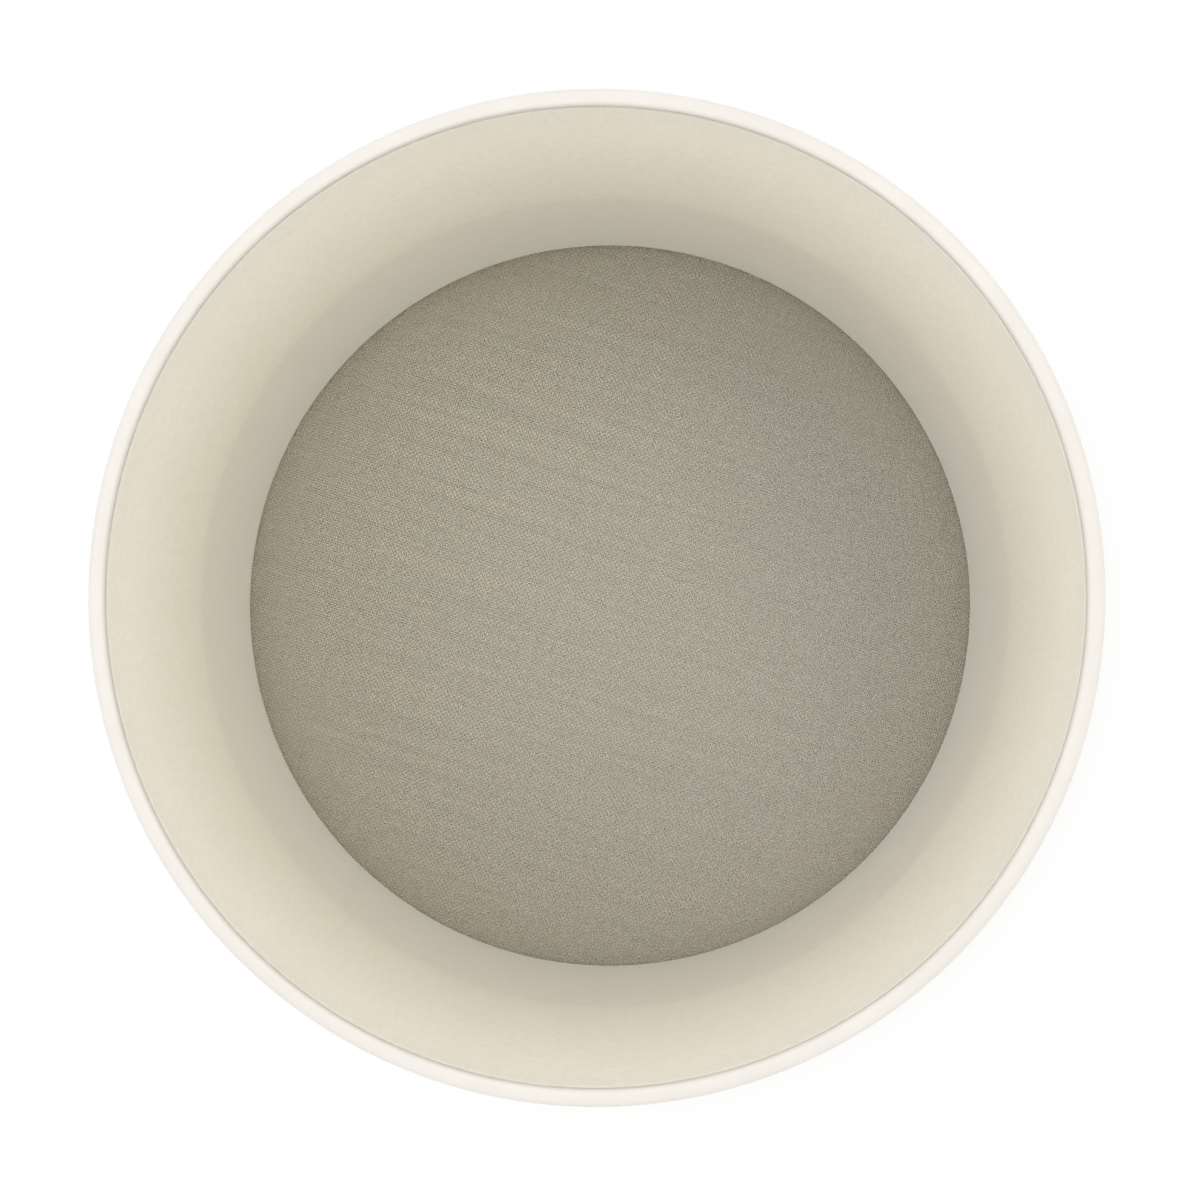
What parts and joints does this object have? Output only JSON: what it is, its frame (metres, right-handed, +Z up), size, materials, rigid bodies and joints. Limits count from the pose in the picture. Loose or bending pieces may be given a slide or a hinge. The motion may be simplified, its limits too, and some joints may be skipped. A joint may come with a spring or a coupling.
{
  "type": "icing sugar sieve",
  "caption": "Deep round drum sieve for icing sugar: a capped plastic drum, open at the top, with a fine wire cloth gripped across its foot by an outer clamp hoop.",
  "frame": {"origin": "centre of the flat ring under the clamp hoop, on which the sieve stands", "axes": "+Z up along the axis of the drum, towards its open top; the two sets of wires run at -18 and 72 degrees from +X"},
  "size_m": [0.215, 0.215, 0.092],
  "materials": {
    "rim_plastic": "smooth white moulded plastic with a soft sheen",
    "drum_plastic": "natural cream plastic, slightly translucent, with a fine mottled grain",
    "clamp_plastic": "natural cream plastic, slightly translucent",
    "cloth_steel": "bright drawn stainless wire in a plain square weave"
  },
  "bodies": {
    "root": {"rim_ring": "rim_plastic", "drum_hoop": "drum_plastic", "clamp_hoop": "clamp_plastic", "sieve_cloth": "cloth_steel", "cloth_skirt": "cloth_steel"}
  },
  "joints": []
}
